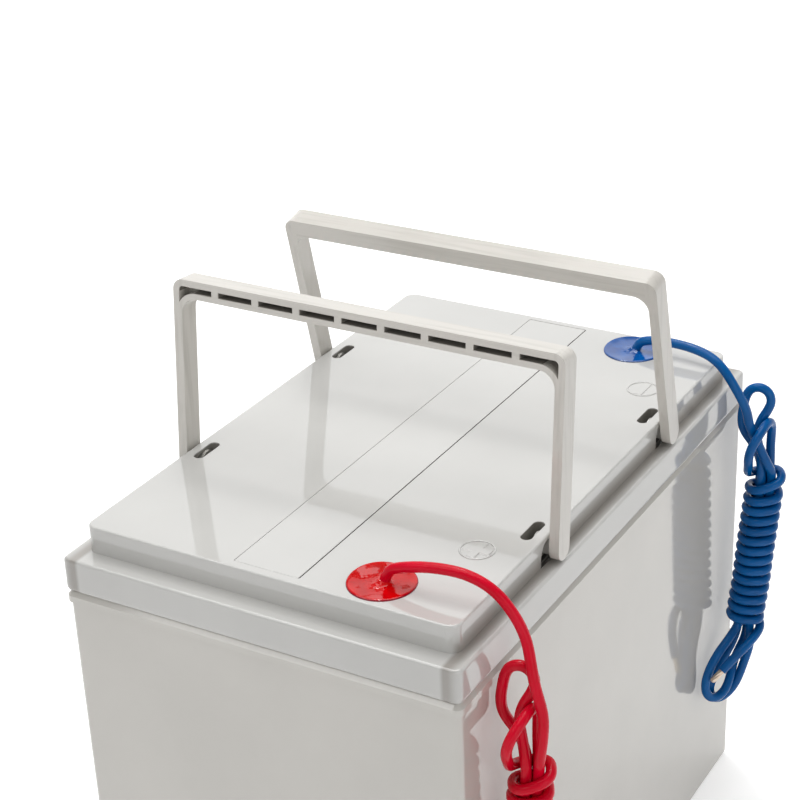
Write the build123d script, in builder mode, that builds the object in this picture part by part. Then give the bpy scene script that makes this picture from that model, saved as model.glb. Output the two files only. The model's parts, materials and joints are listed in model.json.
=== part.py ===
"""Sealed 12 V gel deep cycle battery with two folding bail handles and two factory-potted leads.

Six cells stand in a row along Y inside one container. The lid carries a raised deck, and the ledge
around the deck takes both handles when they are folded outwards. Millimetres, +Z up, and the origin
is on the base under the middle of the case.
"""
from build123d import *
from math import cos, pi, radians, sin, tan
import os

os.makedirs("parts", exist_ok=True)

# ---- Case -------------------------------------------------------------------------------------
case_width = 168.0  # X
case_length = 260.0  # Y
total_height = 211.0  # base to deck
corner_radius = 3.0  # upright corners of the case and of the lid flange
case_draft = 0.3  # degrees, so that the moulding leaves its die
lip_height = 4.2  # collar round the mouth of the container
lip_step = 0.8  # how far the collar stands out of the wall below it
lip_chamfer = 1.6  # lower half of the groove between container and lid
base_fillet = 2.0
floor_thickness = 4.0
rim_wall = 6.0  # wall at the mouth, which the lid stands on
partition = 2.4
cell_corner = 2.0
bead_width = 1.6  # sealant groove in the rim
bead_depth = 2.0

# ---- Lid --------------------------------------------------------------------------------------
deck_height = 10.8  # deck above the ledge
flange_height = 14.2
side_ledge = 5.5  # ledge beside the deck, for the handle arms
end_ledge = 8.7  # ledge in front of and behind the deck, for the handle bars
deck_corner = 4.5
deck_edge = 0.8  # rounded upper edge of the deck
flange_edge = 1.2
flange_lower_edge = 2.4  # upper half of the groove between container and lid
lid_wall = 3.0

# ---- Vent cover and relief valves -------------------------------------------------------------
cover_width = 27.5
cover_length = 235.0
cover_thickness = 2.2
cover_corner = 0.8
cover_edge = 0.3
cover_fit = 0.05  # gap along the left side, where the cover bears
cover_end_gap = 0.15
vent_gap = 0.45  # open gap along the right side, where gas leaves
trough_wall = 2.5
valve_well_radius = 8.5
valve_well_depth = 10.5
nozzle_radius = 4.5
nozzle_bore = 2.0  # radius
nozzle_height = 7.0
valve_wall = 1.4
valve_fit = 0.05
valve_foot_gap = 0.3  # skirt of a valve above the floor of its well

# ---- Terminals --------------------------------------------------------------------------------
terminal_x = 41.2
terminal_inset = 14.5  # behind the ends of the deck
well_radius = 12.4
well_depth = 15.0
well_wall = 2.0
post_radius = 6.0
post_foot_radius = 8.6
post_rise = 2.5  # post above the floor of its well
post_fit = 0.1
seal_width = 2.4
seal_height = 2.6
seal_fit = 0.02
ferrule_radius = 2.9
ferrule_length = 9.0
ferrule_depth = 5.5  # how deep a ferrule sits in its post
ferrule_fit = 0.05
ferrule_cup = 3.5  # how deep a lead sits in its ferrule
potting_rise = 0.7  # resin above the deck
potting_edge = 0.6
potting_collar = 1.5  # resin drawn up round the lead
potting_collar_radius = 4.6
potting_collar_slope = 45.0  # degrees

# ---- Plates -----------------------------------------------------------------------------------
cell_count = 6
positive_count = 5  # per cell, between one more negative plates
positive_thickness = 3.0
negative_thickness = 2.1
plate_side_gap = 3.0
separator_overhang = 1.5  # separator past the plates, at the sides and on top
stack_gap = 0.4  # between the end plates and the cell walls
rest_height = 3.0
rest_width = 4.0
rest_spacing = 80.0
lug_width = 12.0
lug_height = 12.0
strap_width = 18.0
strap_height = 6.0
riser_height = 14.0
riser_gap = 9.0  # from the risers up to the lid
riser_thickness = 3.4
weld_radius = 4.5
weld_fit = 0.05

# ---- Handles ----------------------------------------------------------------------------------
pivot_y = 51.6  # middle of the hinge holes, in front of and behind the middle of the case
pin_travel = 3.2  # of a pin along its hole: a handle moves outwards as it folds
front_rest = 1.6  # pins of the standing front handle nearer to the middle of the case
rear_rest = 0.0
pivot_drop = 5.3  # hinge axis below the deck
arm_thickness = 3.9
arm_width = 9.0  # also the depth of the bar
arm_inset = 0.1  # outer face of an arm behind the side of the case
bar_height = 7.3
bar_corner = 4.5
bar_inner_corner = 6.5
stow_gap = 0.4  # between a folded bar and the end of the deck
rib_count = 8
rib_pitch = 18.4
rib_width = 3.0
pocket_rim = 2.7
pocket_lower_rim = 2.3
pocket_depth = 6.8
front_tilt = 5.0  # degrees that the handle leans towards the middle
rear_tilt = 13.3
boss_radius = 3.5
boss_head_radius = 4.1
boss_head = 1.2
boss_play = 0.4  # along the hinge axis
hinge_fit = 0.08
arch_width = 12.6  # recess in the side of the deck round the foot of an arm
arch_cover = 1.5  # deck left above the recess
arch_depth = 2.1
slot_length = 14.5
slot_width = 4.6
slot_inset = 6.4  # middle of a slot from the side of the deck
slot_wall = 1.5

# ---- Leads ------------------------------------------------------------------------------------
lead_diameter = 4.0
red_rise = 5.5  # straight stretch of the red lead above the deck
blue_rise = 4.2
wrap_width = 16.4  # over the wraps, which lie round four strands
wrap_corner = 6.1
wrap_turn = 60.0  # degrees between a flat of the wraps and the side of the case
wrap_rise = 6.2  # first wrap above the point that a hank is placed by
wrap_drop = 68.0  # last wrap below it
strand_out = 2.6  # where a lead goes in, away from the case and towards the front
strand_aside = 1.6
strand_run = 9.0  # last stretch of a lead, which runs along the hank
tall_rear = 3.4  # tall loop above the wraps, square to the side of the case
tall_front = 5.4
short_back = 9.7  # short loop above the wraps, parallel to the side of the case
short_out = 2.0
tail_rise = 6.8  # folds below the wraps start this far up in them
tail_back = 4.6
tail_out = 7.4

# ---- Heights and sizes that follow ------------------------------------------------------------
deck_z = total_height
ledge_z = deck_z - deck_height
rim_z = ledge_z - flange_height
lip_z = rim_z - lip_height
deck_width = case_width - 2 * side_ledge
deck_length = case_length - 2 * end_ledge
bead_line_width = case_width - rim_wall
bead_line_length = case_length - rim_wall
inner_width = case_width - 2 * rim_wall
inner_length = case_length - 2 * rim_wall
cell_length = (inner_length - (cell_count - 1) * partition) / cell_count
cell_pitch = cell_length + partition
first_cell_y = -(cell_count - 1) / 2 * cell_pitch
terminal_y = deck_length / 2 - terminal_inset
well_floor_z = deck_z - well_depth
post_top_z = well_floor_z + post_rise
ferrule_top_z = post_top_z - ferrule_depth + ferrule_length
lead_start_z = ferrule_top_z - ferrule_cup
trough_depth = cover_thickness + valve_well_depth
plate_z = floor_thickness + rest_height
strap_top_z = rim_z - riser_gap - riser_height
strap_z = strap_top_z - strap_height
lug_z = strap_z - lug_height
plate_height = lug_z - plate_z
weld_z = strap_top_z + riser_height / 2
stack_length = cell_length - 2 * stack_gap
plate_width = inner_width - 2 * plate_side_gap
pivot_z = deck_z - pivot_drop
arm_outer_x = case_width / 2 - arm_inset
arm_inner_x = arm_outer_x - arm_thickness
bar_inner_reach = deck_length / 2 - pivot_y - pin_travel / 2 + stow_gap
handle_reach = bar_inner_reach + bar_height
slot_x = deck_width / 2 - slot_inset
bearing_x = slot_x + slot_width / 2


def write(piece, label):
    """Label one finished piece and write its STEP file."""
    piece.label = label
    export_step(piece, f"parts/{label}.step")


def weld_x(joint):
    """Side on which the weld between cell number joint and the next one lies."""
    return -terminal_x if joint % 2 == 0 else terminal_x


# ---- Container --------------------------------------------------------------------------------
with BuildPart() as container:
    with BuildSketch(Plane(origin=(0, 0, lip_z), z_dir=(0, 0, -1))):
        RectangleRounded(case_width - 2 * lip_step, case_length - 2 * lip_step, corner_radius)
    extrude(amount=lip_z, taper=case_draft)
    fillet(container.faces().sort_by(Axis.Z)[0].edges(), base_fillet)
    with BuildSketch(Plane.XY.offset(lip_z)):
        RectangleRounded(case_width, case_length, corner_radius)
    extrude(amount=lip_height)
    chamfer(container.faces().sort_by(Axis.Z)[-1].edges(), lip_chamfer)
    # Six cells, open at the top, with two rests under each stack of plates.
    with BuildSketch(Plane.XY.offset(floor_thickness)):
        with GridLocations(0, cell_pitch, 1, cell_count):
            RectangleRounded(inner_width, cell_length, cell_corner)
    extrude(amount=rim_z - floor_thickness, mode=Mode.SUBTRACT)
    with BuildSketch(Plane.XY.offset(floor_thickness)):
        with GridLocations(rest_spacing, cell_pitch, 2, cell_count):
            Rectangle(rest_width, cell_length)
    extrude(amount=rest_height)
    # Sealant groove along the middle of the rim.
    with BuildSketch(Plane.XY.offset(rim_z)):
        RectangleRounded(bead_line_width + bead_width, bead_line_length + bead_width, corner_radius)
        RectangleRounded(
            bead_line_width - bead_width,
            bead_line_length - bead_width,
            corner_radius,
            mode=Mode.SUBTRACT,
        )
    extrude(amount=-bead_depth, mode=Mode.SUBTRACT)
    # A hole through each partition for the weld between two cells.
    for joint in range(cell_count - 1):
        partition_y = first_cell_y + (joint + 0.5) * cell_pitch
        with BuildSketch(Plane(origin=(weld_x(joint), partition_y, weld_z), z_dir=(0, 1, 0))):
            Circle(weld_radius + weld_fit)
        extrude(amount=partition / 2, both=True, mode=Mode.SUBTRACT)
write(container.part, "container")

with BuildPart() as lid_sealant:
    with BuildSketch(Plane.XY.offset(rim_z)):
        RectangleRounded(bead_line_width + bead_width, bead_line_length + bead_width, corner_radius)
        RectangleRounded(
            bead_line_width - bead_width,
            bead_line_length - bead_width,
            corner_radius,
            mode=Mode.SUBTRACT,
        )
    extrude(amount=-bead_depth)
write(lid_sealant.part, "lid_sealant")

# ---- Lid --------------------------------------------------------------------------------------
recess_width = cover_width + cover_fit + vent_gap
recess_length = cover_length + 2 * cover_end_gap
slot_depth = pivot_drop + boss_head_radius + boss_play

with BuildPart() as lid:
    with BuildSketch(Plane.XY.offset(rim_z)):
        RectangleRounded(case_width, case_length, corner_radius)
    extrude(amount=flange_height)
    fillet(lid.faces().sort_by(Axis.Z)[-1].edges(), flange_edge)
    fillet(lid.faces().sort_by(Axis.Z)[0].edges(), flange_lower_edge)
    with BuildSketch(Plane.XY.offset(ledge_z)):
        RectangleRounded(deck_width, deck_length, deck_corner)
    extrude(amount=deck_height)
    fillet(lid.faces().sort_by(Axis.Z)[-1].edges(), deck_edge)
    # The moulding is open below: a hollow inside the flange and a narrower one inside the deck.
    with BuildSketch(Plane.XY.offset(rim_z)):
        RectangleRounded(inner_width, inner_length, cell_corner)
    extrude(amount=flange_height - lid_wall, mode=Mode.SUBTRACT)
    with BuildSketch(Plane.XY.offset(rim_z)):
        RectangleRounded(deck_width - 2 * lid_wall, deck_length - 2 * lid_wall, deck_corner - lid_wall)
    extrude(amount=flange_height + deck_height - lid_wall, mode=Mode.SUBTRACT)
    # Ribs that close the cells onto the partitions, wide in the flange and narrower in the deck.
    with BuildSketch(Plane.XY.offset(rim_z)):
        with GridLocations(0, cell_pitch, 1, cell_count - 1):
            Rectangle(inner_width, partition)
    extrude(amount=flange_height - lid_wall / 2)
    with BuildSketch(Plane.XY.offset(ledge_z - lid_wall)):
        with GridLocations(0, cell_pitch, 1, cell_count - 1):
            Rectangle(deck_width - lid_wall, partition)
    extrude(amount=deck_height)
    # Trough for the cover and the valves, with a well and a nozzle over each cell.
    with BuildSketch(Plane.XY.offset(deck_z - trough_depth - lid_wall)):
        Rectangle(2 * (valve_well_radius + trough_wall), recess_length)
    extrude(amount=trough_depth)
    with BuildSketch(Plane.XY.offset(deck_z)):
        RectangleRounded(recess_width, recess_length, cover_corner)
    extrude(amount=-cover_thickness, mode=Mode.SUBTRACT)
    with BuildSketch(Plane.XY.offset(deck_z - trough_depth)):
        with GridLocations(0, cell_pitch, 1, cell_count):
            Circle(valve_well_radius)
    extrude(amount=valve_well_depth, mode=Mode.SUBTRACT)
    with BuildSketch(Plane.XY.offset(deck_z - trough_depth)):
        with GridLocations(0, cell_pitch, 1, cell_count):
            Circle(nozzle_radius)
    extrude(amount=nozzle_height)
    with BuildSketch(Plane.XY.offset(deck_z - trough_depth - lid_wall)):
        with GridLocations(0, cell_pitch, 1, cell_count):
            Circle(nozzle_bore)
    extrude(amount=lid_wall + nozzle_height, mode=Mode.SUBTRACT)
    # Terminal wells: cups hanging under the deck, each with a hole for its post.
    with BuildSketch(Plane.XY.offset(well_floor_z - lid_wall)):
        with Locations((terminal_x, -terminal_y), (terminal_x, terminal_y)):
            Circle(well_radius + well_wall)
    extrude(amount=well_depth)
    with BuildSketch(Plane.XY.offset(well_floor_z)):
        with Locations((terminal_x, -terminal_y), (terminal_x, terminal_y)):
            Circle(well_radius)
    extrude(amount=well_depth, mode=Mode.SUBTRACT)
    with BuildSketch(Plane.XY.offset(well_floor_z - lid_wall)):
        with Locations((terminal_x, -terminal_y), (terminal_x, terminal_y)):
            Circle(post_radius + post_fit)
    extrude(amount=lid_wall, mode=Mode.SUBTRACT)
    # Boxes under the four slots, which close the hinge pockets off from the cells.
    with BuildSketch(Plane.XY.offset(deck_z - slot_depth - slot_wall)):
        with GridLocations(2 * slot_x, 2 * pivot_y, 2, 2):
            Rectangle(deck_width - 2 * slot_x, slot_length + 2 * slot_wall)
    extrude(amount=slot_depth)
    with BuildSketch(Plane.XY.offset(deck_z - slot_depth)):
        with GridLocations(2 * slot_x, 2 * pivot_y, 2, 2):
            SlotOverall(slot_length, slot_width, rotation=90)
    extrude(amount=slot_depth, mode=Mode.SUBTRACT)
    # Arched recess for the foot of each arm in the side of the deck, and the bearing in its back.
    arch_z = deck_z - arch_cover - arch_width / 2
    for side in (-1, 1):
        for end in (-1, 1):
            hinge = Plane(
                origin=(side * deck_width / 2, end * pivot_y, pivot_z),
                x_dir=(0, side, 0),
                z_dir=(side, 0, 0),
            )
            with BuildSketch(hinge):
                with Locations((0, arch_z - pivot_z)):
                    Circle(arch_width / 2)
                    Rectangle(arch_width, arch_z - ledge_z, align=(Align.CENTER, Align.MAX))
            extrude(amount=-arch_depth, mode=Mode.SUBTRACT)
            with BuildSketch(hinge):
                SlotCenterToCenter(pin_travel, 2 * (boss_radius + hinge_fit))
            extrude(amount=slot_x - deck_width / 2, mode=Mode.SUBTRACT)
write(lid.part, "lid")

with BuildPart() as vent_cover:
    with BuildSketch(Plane.XY.offset(deck_z)):
        with Locations(((cover_fit - vent_gap) / 2, 0)):
            RectangleRounded(cover_width, cover_length, cover_corner)
    extrude(amount=-cover_thickness)
    fillet(vent_cover.faces().sort_by(Axis.Z)[-1].edges(), cover_edge)
write(vent_cover.part, "vent_cover")

with BuildPart() as relief_valves:
    valve_z = deck_z - trough_depth + valve_foot_gap
    with BuildSketch(Plane.XY.offset(valve_z)):
        with GridLocations(0, cell_pitch, 1, cell_count):
            Circle(nozzle_radius + valve_fit + valve_wall)
    extrude(amount=nozzle_height - valve_foot_gap + valve_wall)
    with BuildSketch(Plane.XY.offset(valve_z)):
        with GridLocations(0, cell_pitch, 1, cell_count):
            Circle(nozzle_radius + valve_fit)
    extrude(amount=nozzle_height - valve_foot_gap, mode=Mode.SUBTRACT)
write(relief_valves.part, "relief_valves")

# ---- Plates, separators and welds ---------------------------------------------------------------
negative_count = positive_count + 1
separator_thickness = (
    stack_length - positive_count * positive_thickness - negative_count * negative_thickness
) / (2 * positive_count)
plate_pitch = positive_thickness + negative_thickness + 2 * separator_thickness

with BuildPart() as positive_plates:
    for cell in range(cell_count):
        cell_y = first_cell_y + cell * cell_pitch
        side = 1 if cell % 2 == 0 else -1
        with BuildSketch(Plane.XY.offset(plate_z)):
            with Locations((0, cell_y)):
                with GridLocations(0, plate_pitch, 1, positive_count):
                    Rectangle(plate_width, positive_thickness)
        extrude(amount=plate_height)
        with BuildSketch(Plane.XY.offset(lug_z)):
            with Locations((side * terminal_x, cell_y)):
                with GridLocations(0, plate_pitch, 1, positive_count):
                    Rectangle(lug_width, positive_thickness)
        extrude(amount=lug_height)
        with BuildSketch(Plane.XY.offset(strap_z)):
            with Locations((side * terminal_x, cell_y)):
                Rectangle(strap_width, stack_length)
        extrude(amount=strap_height)
        if cell > 0:
            with BuildSketch(Plane.XY.offset(strap_top_z)):
                with Locations((side * terminal_x, cell_y - stack_length / 2)):
                    Rectangle(strap_width, riser_thickness, align=(Align.CENTER, Align.MIN))
            extrude(amount=riser_height)
write(positive_plates.part, "positive_plates")

with BuildPart() as negative_plates:
    for cell in range(cell_count):
        cell_y = first_cell_y + cell * cell_pitch
        side = -1 if cell % 2 == 0 else 1
        with BuildSketch(Plane.XY.offset(plate_z)):
            with Locations((0, cell_y)):
                with GridLocations(0, plate_pitch, 1, negative_count):
                    Rectangle(plate_width, negative_thickness)
        extrude(amount=plate_height)
        with BuildSketch(Plane.XY.offset(lug_z)):
            with Locations((side * terminal_x, cell_y)):
                with GridLocations(0, plate_pitch, 1, negative_count):
                    Rectangle(lug_width, negative_thickness)
        extrude(amount=lug_height)
        with BuildSketch(Plane.XY.offset(strap_z)):
            with Locations((side * terminal_x, cell_y)):
                Rectangle(strap_width, stack_length)
        extrude(amount=strap_height)
        if cell < cell_count - 1:
            with BuildSketch(Plane.XY.offset(strap_top_z)):
                with Locations((side * terminal_x, cell_y + stack_length / 2)):
                    Rectangle(strap_width, riser_thickness, align=(Align.CENTER, Align.MAX))
            extrude(amount=riser_height)
write(negative_plates.part, "negative_plates")

with BuildPart() as separators:
    with BuildSketch(Plane.XY.offset(plate_z)):
        with GridLocations(0, cell_pitch, 1, cell_count):
            with GridLocations(0, plate_pitch, 1, positive_count):
                with Locations(
                    (0, -(positive_thickness + separator_thickness) / 2),
                    (0, (positive_thickness + separator_thickness) / 2),
                ):
                    Rectangle(plate_width + 2 * separator_overhang, separator_thickness)
    extrude(amount=plate_height + separator_overhang)
write(separators.part, "separators")

with BuildPart() as intercell_welds:
    for joint in range(cell_count - 1):
        partition_y = first_cell_y + (joint + 0.5) * cell_pitch
        with BuildSketch(Plane(origin=(weld_x(joint), partition_y, weld_z), z_dir=(0, 1, 0))):
            Circle(weld_radius)
        extrude(amount=partition / 2 + stack_gap, both=True)
write(intercell_welds.part, "intercell_welds")

# ---- Posts, seals and ferrules ------------------------------------------------------------------
seal_top_z = well_floor_z - lid_wall - seal_fit
foot_top_z = seal_top_z - seal_height - seal_fit

for polarity, end in (("positive", -1), ("negative", 1)):
    with BuildPart() as post:
        with BuildSketch(Plane.XY.offset(strap_top_z)):
            with Locations((terminal_x, end * terminal_y)):
                Circle(post_foot_radius)
        extrude(amount=foot_top_z - strap_top_z)
        with BuildSketch(Plane.XY.offset(strap_top_z)):
            with Locations((terminal_x, end * terminal_y)):
                Circle(post_radius)
        extrude(amount=post_top_z - strap_top_z)
        with BuildSketch(Plane.XY.offset(post_top_z)):
            with Locations((terminal_x, end * terminal_y)):
                Circle(ferrule_radius + ferrule_fit)
        extrude(amount=-ferrule_depth, mode=Mode.SUBTRACT)
    write(post.part, f"{polarity}_post")

    with BuildPart() as ferrule:
        with BuildSketch(Plane.XY.offset(post_top_z - ferrule_depth)):
            with Locations((terminal_x, end * terminal_y)):
                Circle(ferrule_radius)
        extrude(amount=ferrule_length)
        with BuildSketch(Plane.XY.offset(ferrule_top_z)):
            with Locations((terminal_x, end * terminal_y)):
                Circle(lead_diameter / 2 + ferrule_fit)
        extrude(amount=-ferrule_cup, mode=Mode.SUBTRACT)
    write(ferrule.part, f"{polarity}_ferrule")

with BuildPart() as post_seals:
    with BuildSketch(Plane.XY.offset(seal_top_z)):
        with Locations((terminal_x, -terminal_y), (terminal_x, terminal_y)):
            Circle(post_radius + seal_fit + seal_width)
            Circle(post_radius + seal_fit, mode=Mode.SUBTRACT)
    extrude(amount=-seal_height)
write(post_seals.part, "post_seals")

# ---- Handles ------------------------------------------------------------------------------------
boss_length = arm_inner_x - bearing_x + boss_play

for name, end, tilt, rest in (("front", -1, front_tilt, front_rest), ("rear", 1, rear_tilt, rear_rest)):
    lean = radians(tilt)
    hinge_y = end * (pivot_y - rest)
    face = Plane(
        origin=(0, hinge_y, pivot_z),
        x_dir=(-end, 0, 0),
        z_dir=(0, end * cos(lean), sin(lean)),
    )
    with BuildPart() as handle:
        with BuildSketch(face) as outline:
            Rectangle(2 * arm_outer_x, handle_reach, align=(Align.CENTER, Align.MIN))
            fillet(outline.vertices().group_by(Axis.Y)[-1], bar_corner)
        extrude(amount=arm_width / 2, both=True)
        with BuildSketch(face) as opening:
            Rectangle(2 * arm_inner_x, bar_inner_reach, align=(Align.CENTER, Align.MIN))
            fillet(opening.vertices().group_by(Axis.Y)[-1], bar_inner_corner)
        extrude(amount=arm_width / 2, both=True, mode=Mode.SUBTRACT)
        # Round feet, and a boss on each arm with a head that keeps it in its bearing.
        for side in (-1, 1):
            arm = Plane(origin=(side * arm_inner_x, hinge_y, pivot_z), z_dir=(-side, 0, 0))
            with BuildSketch(arm):
                Circle(arm_width / 2)
            extrude(amount=-arm_thickness)
            with BuildSketch(arm):
                Circle(boss_radius)
            extrude(amount=boss_length)
            with BuildSketch(arm.offset(boss_length)):
                Circle(boss_head_radius)
            extrude(amount=boss_head)
        # Row of pockets in the outward face. The last one at each end follows the corner of the
        # bar and runs out where the arm is too thin for it.
        with BuildSketch(face.offset(arm_width / 2)) as pockets:
            Rectangle(
                2 * (arm_outer_x - pocket_rim),
                handle_reach - pocket_rim,
                align=(Align.CENTER, Align.MIN),
            )
            fillet(pockets.vertices().group_by(Axis.Y)[-1], bar_corner - pocket_rim)
            with BuildSketch(mode=Mode.PRIVATE) as lower_rim:
                Rectangle(
                    2 * (arm_inner_x + pocket_lower_rim),
                    bar_inner_reach + pocket_lower_rim,
                    align=(Align.CENTER, Align.MIN),
                )
                fillet(lower_rim.vertices().group_by(Axis.Y)[-1], bar_inner_corner + pocket_lower_rim)
            add(lower_rim.sketch, mode=Mode.SUBTRACT)
            with Locations((0, bar_inner_reach)):
                with GridLocations(rib_pitch, 0, rib_count, 1):
                    Rectangle(rib_width, 2 * bar_height, mode=Mode.SUBTRACT)
        extrude(amount=-pocket_depth, mode=Mode.SUBTRACT)
    write(handle.part, f"{name}_handle")

# ---- Leads, hanks and potting -------------------------------------------------------------------
hank_axis = Vector(5.0, 4.9, 66.5).normalized()  # up along the wraps
hank_side = hank_axis.cross(Vector(1, 0, 0)).normalized()  # towards the rear
hank_out = hank_side.cross(hank_axis)  # away from the case
tail_axis = Vector(5.4, 19.1, 31.4).normalized()  # up along the folds below the wraps
tail_side = tail_axis.cross(Vector(1, 0, 0)).normalized()


def corner_radii(points):
    """Largest arc that the two runs at each corner leave room for."""
    runs = [Vector(*b) - Vector(*a) for a, b in zip(points, points[1:])]
    return [
        0.45 * min(a.length, b.length) / tan(radians(a.get_angle(b) / 2)) for a, b in zip(runs, runs[1:])
    ]


# Circles that the outlines of the loops and of the folds are drawn round: (middle, radius).
tall_loop = (((-9.2, 39.6), 7.2), ((-10.0, 28.0), 6.2), ((-3.4, 8.0), 4.8), ((0, -8.0), 4.8))
short_loop = (((-10.8, 24.0), 6.2), ((-4.0, 27.4), 6.0), ((3.9, 9.0), 4.6), ((0, -2.0), 5.0))
tail_folds = (((1.0, 0), 6.4), ((-4.2, -33.0), 6.0), ((-2.6, -38.8), 5.6), ((5.6, -38.8), 6.0))

# Routes of the two leads, as offsets from the middle of each terminal at the height of the deck.
red_route = (
    (10.8, 1.6, 9.6),
    (22.8, 2.5, 10.2),
    (33.8, 3.0, 8.6),
    (42.8, 3.4, 4.0),
    (49.2, 4.0, -4.6),
    (53.8, 4.0, -13.4),
    (57.1, 2.8, -22.0),
    (59.7, 0.9, -31.0),
    (61.1, -0.6, -40.5),
    (61.0, -1.2, -49.5),
)
blue_route = (
    (9.8, -3.0, 8.6),
    (20.8, -5.8, 10.6),
    (31.8, -8.8, 11.6),
    (40.8, -11.0, 9.4),
    (47.8, -11.2, 2.6),
    (52.2, -8.8, -7.2),
    (54.4, -4.4, -17.4),
    (56.4, 0.4, -27.4),
    (58.8, 3.7, -37.6),
)
# Place of each hank from the same middle: a point in the middle of its upper wraps.
red_hang = Vector(57.4, 0.7, -66.0)
blue_hang = Vector(59.3, 8.7, -57.0)

for colour, end, rise, route, hang in (
    ("red", -1, red_rise, red_route, red_hang),
    ("blue", 1, blue_rise, blue_route, blue_hang),
):
    terminal = Vector(terminal_x, end * terminal_y, deck_z)
    hank_top = terminal + hang
    entry = hank_top + hank_out * strand_out - hank_side * strand_aside
    path_points = (
        (terminal_x, end * terminal_y, lead_start_z),
        (terminal_x, end * terminal_y, deck_z + rise),
        *[tuple(terminal + Vector(*offset)) for offset in route],
        tuple(entry + hank_axis * strand_run),
        tuple(entry),
    )
    radii = corner_radii(path_points)
    print(colour, "lead radii", [round(radius, 1) for radius in radii])
    with BuildPart() as lead:
        with BuildLine() as path:
            FilletPolyline(*path_points, radius=radii)
        with BuildSketch(Plane.XY.offset(lead_start_z)):
            with Locations((terminal_x, end * terminal_y)):
                Circle(lead_diameter / 2)
        sweep(path=path.wire())
    lead_length = path.wire().length
    lead_section = pi * lead_diameter**2 / 4
    print(colour, "lead length", round(lead_length, 1), "volume", round(lead.part.volume, 1))
    print(colour, "section times length", round(lead_section * lead_length, 1))
    write(lead.part, f"{colour}_lead")

    with BuildPart() as hank:
        first_wrap = Plane(
            origin=hank_top + hank_axis * wrap_rise,
            x_dir=hank_side,
            z_dir=hank_axis * -1,
        )
        with BuildSketch(first_wrap):
            RectangleRounded(wrap_width, wrap_width, wrap_corner, rotation=wrap_turn)
        extrude(amount=wrap_rise + wrap_drop)
        # Two loops of the folded strands stand above the wraps. The tall one leans on the case.
        tall = Plane(origin=hank_top + hank_side * tall_rear, x_dir=hank_out, z_dir=hank_side * -1)
        with BuildSketch(tall):
            with BuildLine():
                for middle, radius in tall_loop:
                    CenterArc(middle, radius, 0, 360)
            make_hull()
        extrude(amount=tall_rear + tall_front)
        short = Plane(origin=hank_top - hank_out * short_back, x_dir=hank_side, z_dir=hank_out)
        with BuildSketch(short):
            with BuildLine():
                for middle, radius in short_loop:
                    CenterArc(middle, radius, 0, 360)
            make_hull()
        extrude(amount=short_back + short_out)
        # The folds at the other end hang below the wraps and swing towards the front.
        tail = Plane(
            origin=hank_top - hank_axis * (wrap_drop - tail_rise),
            x_dir=tail_side,
            z_dir=tail_side.cross(tail_axis),
        )
        with BuildSketch(tail.offset(-tail_back)):
            with BuildLine():
                for middle, radius in tail_folds:
                    CenterArc(middle, radius, 0, 360)
            make_hull()
        extrude(amount=tail_back + tail_out)
    write(hank.part, f"{colour}_hank")

    with BuildPart() as potting:
        with BuildSketch(Plane.XY.offset(well_floor_z)):
            with Locations((terminal_x, end * terminal_y)):
                Circle(well_radius)
        extrude(amount=well_depth + potting_rise)
        fillet(potting.faces().sort_by(Axis.Z)[-1].edges(), potting_edge)
        with BuildSketch(Plane.XY.offset(deck_z + potting_rise)):
            with Locations((terminal_x, end * terminal_y)):
                Circle(potting_collar_radius)
        extrude(amount=potting_collar, taper=potting_collar_slope)
        with BuildSketch(Plane.XY.offset(well_floor_z)):
            with Locations((terminal_x, end * terminal_y)):
                Circle(post_radius)
        extrude(amount=post_rise, mode=Mode.SUBTRACT)
        with BuildSketch(Plane.XY.offset(post_top_z)):
            with Locations((terminal_x, end * terminal_y)):
                Circle(ferrule_radius)
        extrude(amount=ferrule_top_z - post_top_z, mode=Mode.SUBTRACT)
        add(lead.part, mode=Mode.SUBTRACT)
    write(potting.part, f"{colour}_potting")
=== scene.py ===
# %% [markdown]
# # A sealed battery with two folding handles and two potted leads
# The hard parts of this battery, its container, lid, handles and plates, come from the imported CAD
# model, and they stay exactly as they are. This lesson adds what CAD leaves out: the camera and the
# light, the two limp leads in their hanks, the resin they are potted in, the marks moulded into the
# deck, and a finish for every piece. Everything is in metres, in the CAD model's own frame: the
# origin is on the base under the middle of the case, Z is up, and both leads hang on the +X side.

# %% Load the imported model
import json

import bpy
import numpy as np
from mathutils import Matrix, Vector


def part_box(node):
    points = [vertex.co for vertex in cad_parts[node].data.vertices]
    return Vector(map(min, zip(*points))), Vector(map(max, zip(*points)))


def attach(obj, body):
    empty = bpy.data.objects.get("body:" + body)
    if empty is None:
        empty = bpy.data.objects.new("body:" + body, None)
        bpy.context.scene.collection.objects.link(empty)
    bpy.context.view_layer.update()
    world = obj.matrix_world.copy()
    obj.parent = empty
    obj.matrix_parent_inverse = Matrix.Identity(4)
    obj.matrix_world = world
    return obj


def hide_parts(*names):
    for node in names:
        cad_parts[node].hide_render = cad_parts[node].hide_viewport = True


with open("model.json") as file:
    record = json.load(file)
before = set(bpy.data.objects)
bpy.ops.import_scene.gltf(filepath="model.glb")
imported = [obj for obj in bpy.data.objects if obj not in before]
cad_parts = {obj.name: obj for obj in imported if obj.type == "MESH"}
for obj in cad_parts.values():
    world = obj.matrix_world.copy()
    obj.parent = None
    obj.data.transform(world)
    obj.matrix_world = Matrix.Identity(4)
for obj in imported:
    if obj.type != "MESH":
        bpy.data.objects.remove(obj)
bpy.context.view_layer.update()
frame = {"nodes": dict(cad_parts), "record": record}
nodes = frame["nodes"]
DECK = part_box("lid")[1].z
print("nodes:", len(nodes), " deck at", round(DECK, 4))

# %% [markdown]
# ## The camera
# A product picture is taken from above one corner with a long lens, so that upright edges stay nearly
# parallel. The camera stands a little under a metre away. A small shift moves the picture on the
# sensor, which keeps the camera's angle and only changes what lies in the frame.

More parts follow.
